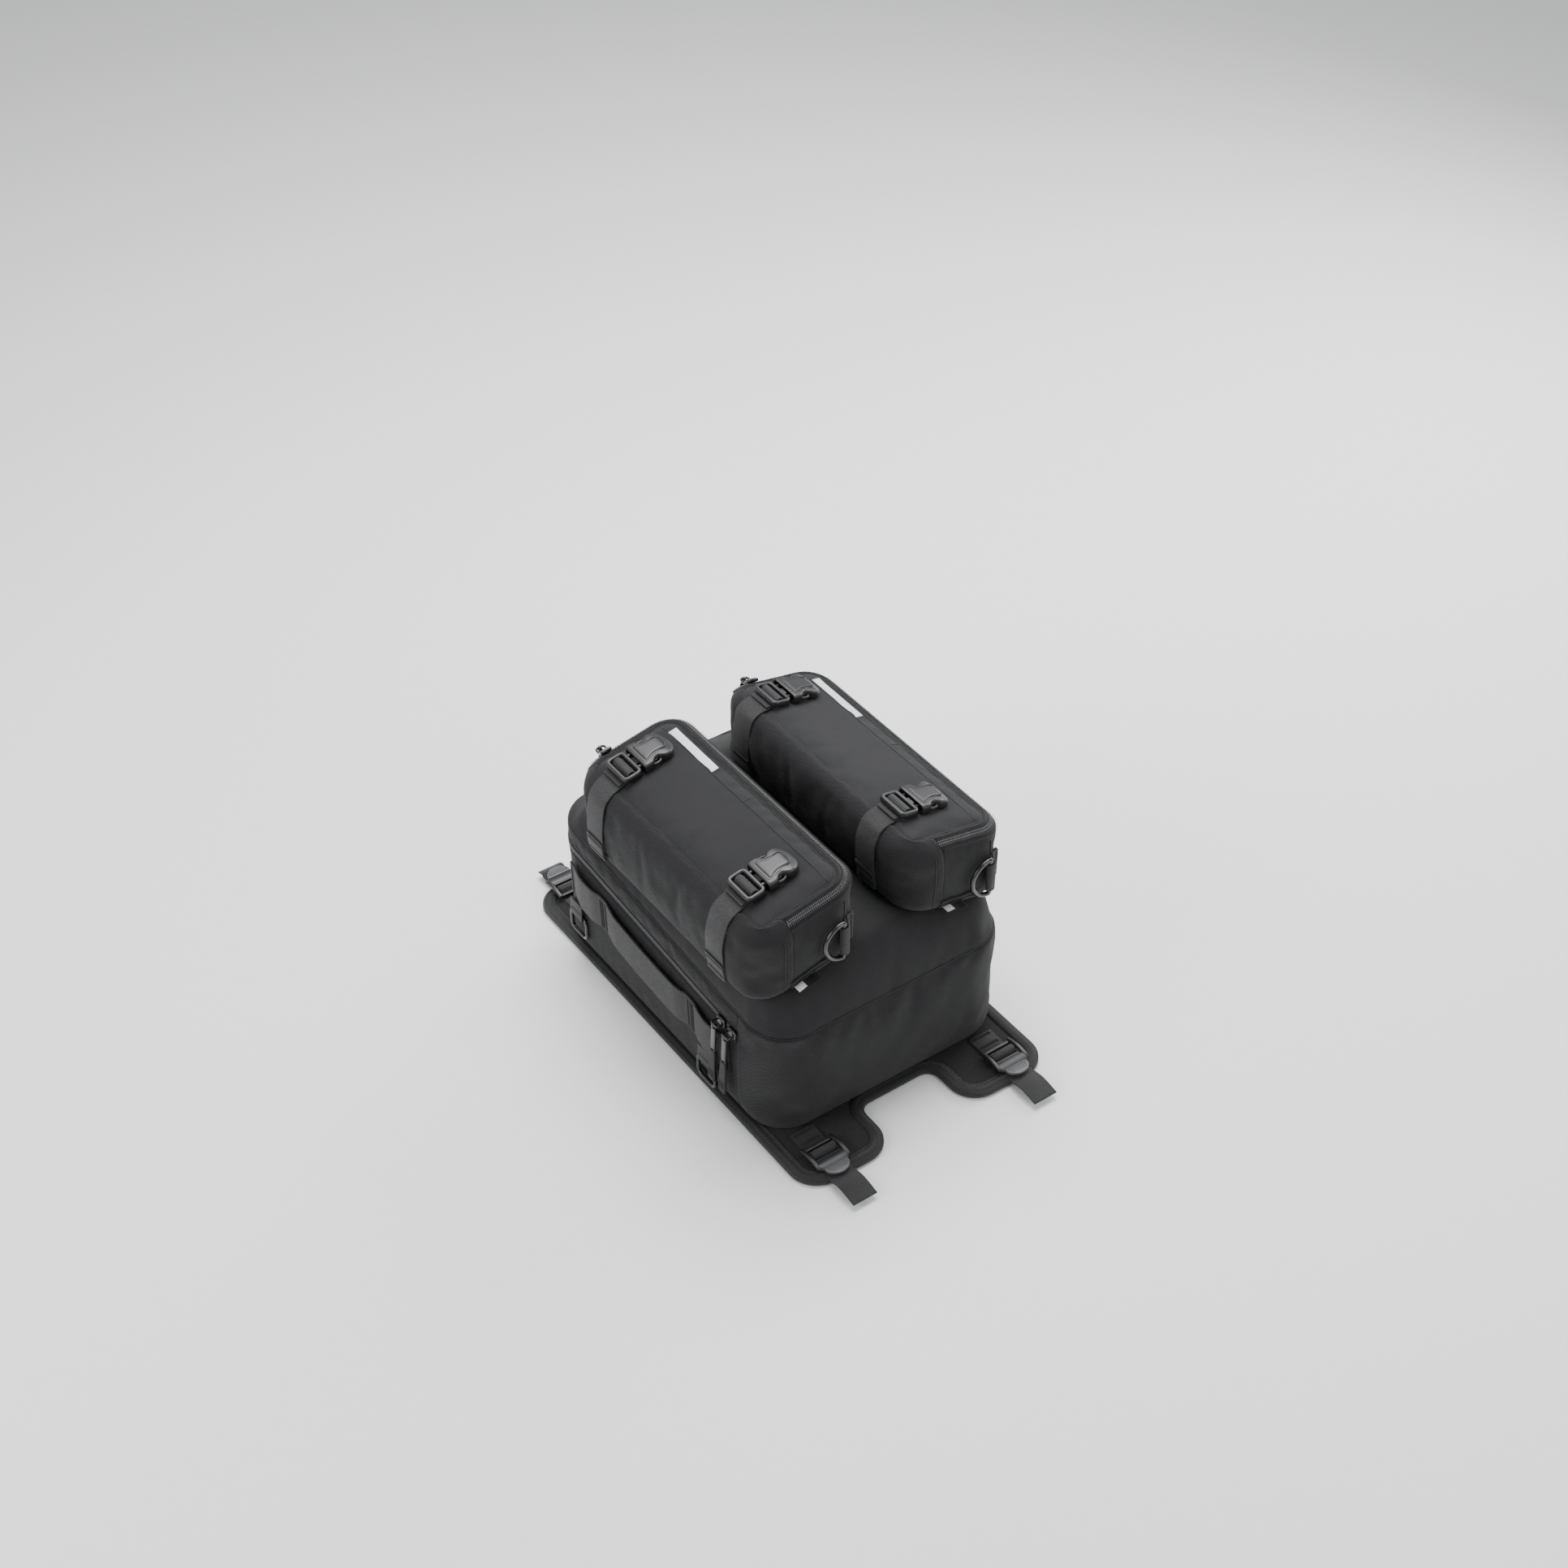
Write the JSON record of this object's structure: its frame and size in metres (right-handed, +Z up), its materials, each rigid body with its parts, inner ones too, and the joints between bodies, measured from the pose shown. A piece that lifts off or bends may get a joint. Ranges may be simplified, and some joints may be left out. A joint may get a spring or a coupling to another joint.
{
  "type": "motorcycle tank bag",
  "caption": "Soft zipped tank bag on a base pad, with two zipped pods strapped along its hinged lid.",
  "frame": {"origin": "centre of the main bag on the flat underside of the base pad", "axes": "+X to the rider's right, +Y forward, +Z up"},
  "size_m": [0.2755, 0.508, 0.256],
  "materials": {
    "pack_fabric": "tightly woven coated polyester, matt",
    "webbing": "ribbed polyester webbing",
    "binding": "herringbone binding tape",
    "moulding": "satin moulded acetal",
    "zip_tape": "zip tape with coil teeth",
    "slider_metal": "glossy black enamel",
    "pull_rubber": "soft grey rubber",
    "board": "matt stiffener board",
    "strip": "plain reflective strip",
    "label": "plain woven label"
  },
  "bodies": {
    "bag_body": {"base_pad": "pack_fabric", "base_binding": "binding", "floor_board": "board", "main_body_shell": "pack_fabric", "main_zip_tape_lower": "zip_tape", "front_pocket": "pack_fabric", "left_grab_webbing": "webbing", "right_grab_webbing": "webbing", "left_ring_tabs": "webbing", "right_ring_tabs": "webbing", "left_front_side_ring": "moulding", "left_rear_side_ring": "moulding", "right_front_side_ring": "moulding", "right_rear_side_ring": "moulding", "rear_left_strap": "webbing", "rear_right_strap": "webbing", "front_left_strap": "webbing", "front_right_strap": "webbing"},
    "rear_left_ladder_lock": {"rear_left_ladder_lock": "moulding"},
    "rear_right_ladder_lock": {"rear_right_ladder_lock": "moulding"},
    "front_left_ladder_lock": {"front_left_ladder_lock": "moulding"},
    "front_right_ladder_lock": {"front_right_ladder_lock": "moulding"},
    "main_lid": {"lid_shell": "pack_fabric", "lid_zip_tape_upper": "zip_tape", "pod_labels": "label", "pod_foot_zips": "zip_tape", "left_pod_shell": "pack_fabric", "left_pod_zip_tape": "zip_tape", "left_pod_side_straps": "webbing", "left_pod_ring_loop": "webbing", "right_pod_shell": "pack_fabric", "right_pod_zip_tape": "zip_tape", "right_pod_side_straps": "webbing", "right_pod_ring_loop": "webbing"},
    "rear_zip_slider": {"rear_zip_slider": "slider_metal"},
    "front_zip_slider": {"front_zip_slider": "slider_metal"},
    "rear_zip_pull": {"rear_zip_pull": "pull_rubber"},
    "front_zip_pull": {"front_zip_pull": "pull_rubber"},
    "left_pod_lid": {"left_pod_lid": "pack_fabric", "left_pod_lid_zip_tape": "zip_tape", "left_pod_lid_straps": "webbing", "left_pod_strip": "strip", "left_front_socket": "moulding", "left_rear_socket": "moulding"},
    "left_front_clip": {"left_front_clip": "moulding"},
    "left_rear_clip": {"left_rear_clip": "moulding"},
    "left_pod_slider": {"left_pod_slider": "slider_metal"},
    "left_pod_pull": {"left_pod_pull": "pull_rubber"},
    "left_pod_d_ring": {"left_pod_d_ring": "moulding"},
    "right_pod_lid": {"right_pod_lid": "pack_fabric", "right_pod_lid_zip_tape": "zip_tape", "right_pod_lid_straps": "webbing", "right_pod_strip": "strip", "right_front_socket": "moulding", "right_rear_socket": "moulding"},
    "right_front_clip": {"right_front_clip": "moulding"},
    "right_rear_clip": {"right_rear_clip": "moulding"},
    "right_pod_slider": {"right_pod_slider": "slider_metal"},
    "right_pod_pull": {"right_pod_pull": "pull_rubber"},
    "right_pod_d_ring": {"right_pod_d_ring": "moulding"}
  },
  "joints": [
    {"name": "rear_left_ladder_lock_tilt", "type": "hinge", "parent": "bag_body", "child": "rear_left_ladder_lock", "pos_m": [-0.098, -0.195, 0.0079], "axis": [-1, 0, 0], "range_deg": [0, 60]},
    {"name": "rear_right_ladder_lock_tilt", "type": "hinge", "parent": "bag_body", "child": "rear_right_ladder_lock", "pos_m": [0.098, -0.195, 0.0079], "axis": [-1, 0, 0], "range_deg": [0, 60]},
    {"name": "front_left_ladder_lock_tilt", "type": "hinge", "parent": "bag_body", "child": "front_left_ladder_lock", "pos_m": [-0.098, 0.195, 0.0079], "axis": [1, 0, 0], "range_deg": [0, 60]},
    {"name": "front_right_ladder_lock_tilt", "type": "hinge", "parent": "bag_body", "child": "front_right_ladder_lock", "pos_m": [0.098, 0.195, 0.0079], "axis": [1, 0, 0], "range_deg": [0, 60]},
    {"name": "main_lid_hinge", "type": "hinge", "parent": "bag_body", "child": "main_lid", "pos_m": [0, -0.173, 0.11385], "axis": [1, 0, 0], "range_deg": [0, 100]},
    {"name": "rear_zip_slide", "type": "slide", "parent": "bag_body", "child": "rear_zip_slider", "axis": [0, 0.9967, 0.0807], "range_m": [0, 0.18]},
    {"name": "front_zip_slide", "type": "slide", "parent": "rear_zip_slider", "child": "front_zip_slider", "axis": [0, 0.9967, 0.0807], "range_m": [0, 0.04]},
    {"name": "rear_zip_pull_swing", "type": "hinge", "parent": "rear_zip_slider", "child": "rear_zip_pull", "pos_m": [-0.138, -0.1178, 0.09696], "axis": [0, 0.9967, 0.0807], "range_deg": [0, 110]},
    {"name": "front_zip_pull_swing", "type": "hinge", "parent": "front_zip_slider", "child": "front_zip_pull", "pos_m": [-0.138, -0.1018, 0.09825], "axis": [0, 0.9967, 0.0807], "range_deg": [0, 110]},
    {"name": "left_pod_lid_hinge", "type": "hinge", "parent": "main_lid", "child": "left_pod_lid", "pos_m": [-0.132, -0.016, 0.2265], "axis": [0, -1, 0], "range_deg": [0, 100]},
    {"name": "left_front_clip_release", "type": "slide", "parent": "left_pod_lid", "child": "left_front_clip", "axis": [-0.9816, 0, -0.1908], "range_m": [0, 0.026]},
    {"name": "left_rear_clip_release", "type": "slide", "parent": "left_pod_lid", "child": "left_rear_clip", "axis": [-0.9816, 0, -0.1908], "range_m": [0, 0.026]},
    {"name": "left_pod_zip_slide", "type": "slide", "parent": "main_lid", "child": "left_pod_slider", "axis": [0.9816, 0, 0.1908], "range_m": [0, 0.04]},
    {"name": "left_pod_pull_swing", "type": "hinge", "parent": "left_pod_slider", "child": "left_pod_pull", "pos_m": [-0.09752, 0.1315, 0.2258], "axis": [0.9816, 0, 0.1908], "range_deg": [0, 110]},
    {"name": "left_pod_d_ring_swing", "type": "hinge", "parent": "main_lid", "child": "left_pod_d_ring", "pos_m": [-0.05, -0.165, 0.19959], "axis": [0, 0, 1], "range_deg": [0, 150]},
    {"name": "right_pod_lid_hinge", "type": "hinge", "parent": "main_lid", "child": "right_pod_lid", "pos_m": [0.022, -0.016, 0.24788], "axis": [0, -1, 0], "range_deg": [0, 100]},
    {"name": "right_front_clip_release", "type": "slide", "parent": "right_pod_lid", "child": "right_front_clip", "axis": [-0.9816, 0, 0.1908], "range_m": [0, 0.026]},
    {"name": "right_rear_clip_release", "type": "slide", "parent": "right_pod_lid", "child": "right_rear_clip", "axis": [-0.9816, 0, 0.1908], "range_m": [0, 0.026]},
    {"name": "right_pod_zip_slide", "type": "slide", "parent": "main_lid", "child": "right_pod_slider", "axis": [0.9816, 0, -0.1908], "range_m": [0, 0.04]},
    {"name": "right_pod_pull_swing", "type": "hinge", "parent": "right_pod_slider", "child": "right_pod_pull", "pos_m": [0.05552, 0.1315, 0.23397], "axis": [0.9816, 0, -0.1908], "range_deg": [0, 110]},
    {"name": "right_pod_d_ring_swing", "type": "hinge", "parent": "main_lid", "child": "right_pod_d_ring", "pos_m": [0.104, -0.165, 0.18909], "axis": [0, 0, 1], "range_deg": [0, 150]}
  ]
}
